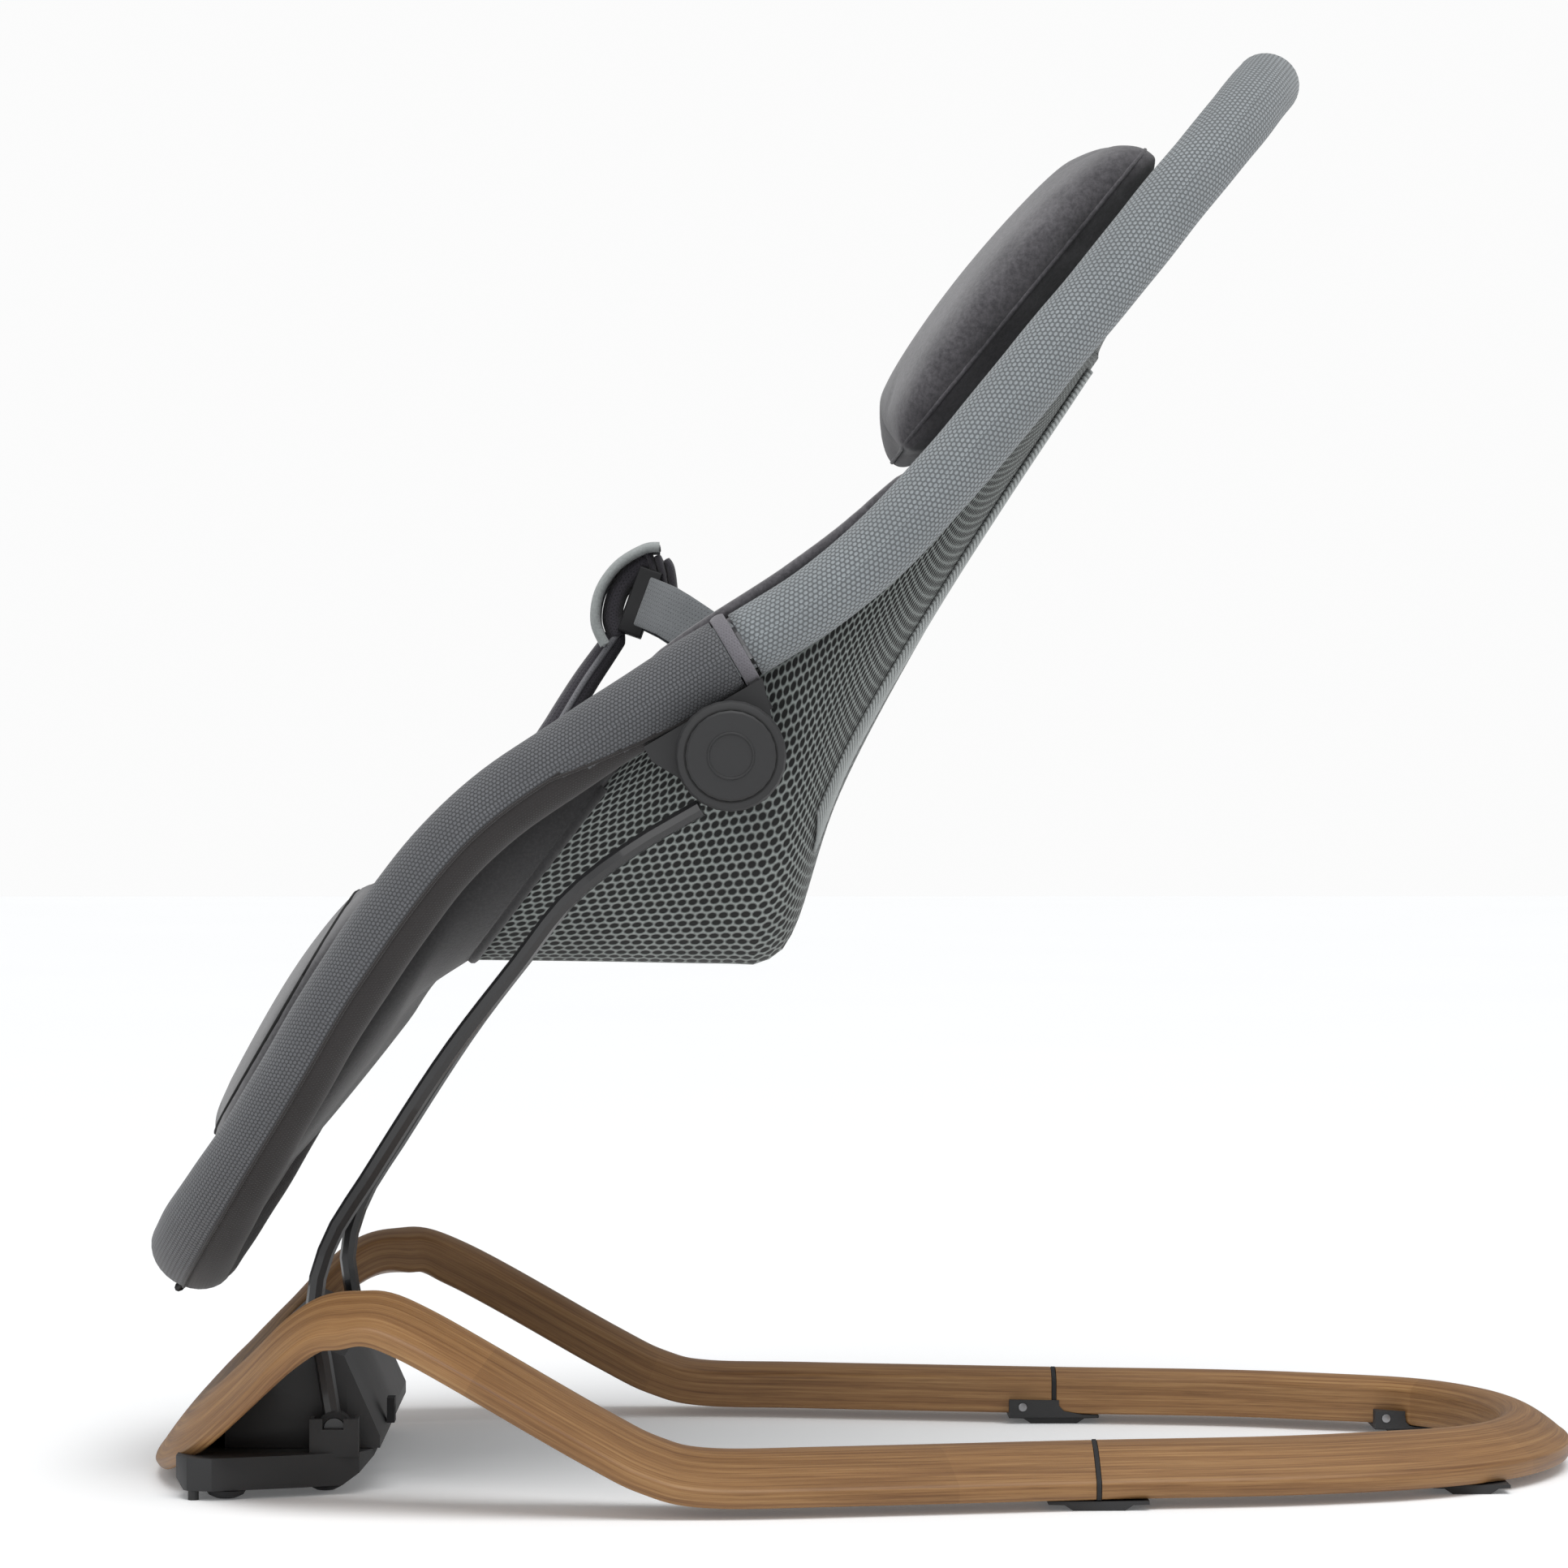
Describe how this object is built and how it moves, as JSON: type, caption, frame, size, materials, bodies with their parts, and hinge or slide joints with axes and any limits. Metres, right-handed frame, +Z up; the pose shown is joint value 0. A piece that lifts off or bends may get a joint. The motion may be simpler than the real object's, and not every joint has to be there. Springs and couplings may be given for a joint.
{
  "type": "baby bouncer seat",
  "caption": "Baby bouncer with an oval reclining padded seat, held by sprung rods and side hubs over a wooden floor loop with a front drive housing.",
  "frame": {"origin": "on the floor under the middle of the outline", "axes": "+Z up, -Y towards the foot end and the drive housing, +Y towards the head end, +X to the right hub seen from behind"},
  "size_m": [0.5052, 0.703, 0.698],
  "materials": {
    "oak": "satin oiled, straight grain",
    "black_rubber": "matte",
    "anthracite_plastic": "fine matte texture",
    "black_plastic": "satin",
    "button_grey": "satin",
    "circuit": "coated board",
    "steel": "plain",
    "copper": "varnished winding",
    "rod_black": "black satin powder coat",
    "light_knit": "coarse light blue-grey knit",
    "dark_knit": "fine dark grey knit",
    "tape_knit": "mauve-grey tape",
    "mesh_knit": "open knitted mesh",
    "felt": "dark felt",
    "pad_fabric": "soft padded knit",
    "charcoal_melange": "charcoal melange knit",
    "webbing": "woven strap",
    "cover_grey": "light padded cover",
    "strap_grey": "soft strap"
  },
  "bodies": {
    "base": {"front_rail": "oak", "rear_rail": "oak", "joint_band_right": "black_rubber", "joint_band_left": "black_rubber", "mid_foot_right": "anthracite_plastic", "mid_foot_left": "anthracite_plastic", "rear_foot_right": "anthracite_plastic", "rear_foot_left": "anthracite_plastic", "tray": "anthracite_plastic", "battery_door": "anthracite_plastic", "upper_shell": "anthracite_plastic", "control_panel": "black_plastic", "circuit_board": "circuit", "front_dome_foot_right": "black_rubber", "front_dome_foot_left": "black_rubber", "back_dome_foot_right": "black_rubber", "back_dome_foot_left": "black_rubber", "power_inlet": "black_rubber", "shaft_bush_right": "anthracite_plastic", "shaft_bush_left": "anthracite_plastic", "drive_coil": "copper", "return_spring": "steel"},
    "rocker": {"rocker_shaft": "steel", "drive_lever": "steel", "drive_magnet": "steel", "rod_socket_right": "black_rubber", "rod_socket_left": "black_rubber", "rod_right": "rod_black", "rod_left": "rod_black", "hub_housing_right": "anthracite_plastic", "hub_housing_left": "anthracite_plastic", "hub_pin_right": "steel", "hub_pin_left": "steel"},
    "seat": {"upper_tube": "steel", "lower_tube": "steel", "upper_cover": "light_knit", "lower_cover": "dark_knit", "junction_tape_right": "tape_knit", "junction_tape_left": "tape_knit", "hub_bracket_right": "anthracite_plastic", "hub_bracket_left": "anthracite_plastic", "mesh_bucket": "mesh_knit", "calf_panel": "felt", "head_panel": "mesh_knit", "seat_pad": "pad_fabric", "leg_pad": "pad_fabric", "headrest_pillow": "charcoal_melange", "crotch_strap": "webbing", "buckle": "black_plastic", "buckle_cover": "cover_grey", "waist_strap_right": "strap_grey", "waist_strap_left": "strap_grey"},
    "hub_button_right": {"hub_button_right": "anthracite_plastic"},
    "hub_button_left": {"hub_button_left": "anthracite_plastic"},
    "speed_button": {"button_speed": "button_grey"},
    "power_button": {"button_power": "button_grey"},
    "timer_button": {"button_timer": "button_grey"},
    "buckle_button": {"buckle_button": "button_grey"}
  },
  "joints": [
    {"name": "bounce", "type": "hinge", "parent": "base", "child": "rocker", "pos_m": [0, -0.25396, 0.031], "axis": [1, 0, 0], "range_deg": [-3, 3], "stiffness_Nm_per_rad": 400, "springref_deg": 1.56},
    {"name": "recline", "type": "hinge", "parent": "rocker", "child": "seat", "pos_m": [0, -0.06596, 0.3505], "axis": [-1, 0, 0], "range_deg": [0, 23]},
    {"name": "hub_press_right", "type": "slide", "parent": "rocker", "child": "hub_button_right", "axis": [-1, 0, 0], "range_m": [0, 0.003], "stiffness_N_per_m": 600},
    {"name": "hub_press_left", "type": "slide", "parent": "rocker", "child": "hub_button_left", "axis": [1, 0, 0], "range_m": [0, 0.003], "stiffness_N_per_m": 600},
    {"name": "speed_press", "type": "slide", "parent": "base", "child": "speed_button", "axis": [0, 0.6762, -0.7367], "range_m": [0, 0.0015], "stiffness_N_per_m": 400},
    {"name": "power_press", "type": "slide", "parent": "base", "child": "power_button", "axis": [0, 0.6762, -0.7367], "range_m": [0, 0.0015], "stiffness_N_per_m": 400},
    {"name": "timer_press", "type": "slide", "parent": "base", "child": "timer_button", "axis": [0, 0.6762, -0.7367], "range_m": [0, 0.0015], "stiffness_N_per_m": 400},
    {"name": "buckle_press", "type": "slide", "parent": "seat", "child": "buckle_button", "axis": [0, 0.9428, -0.3335], "range_m": [0, 0.0015], "stiffness_N_per_m": 400}
  ]
}
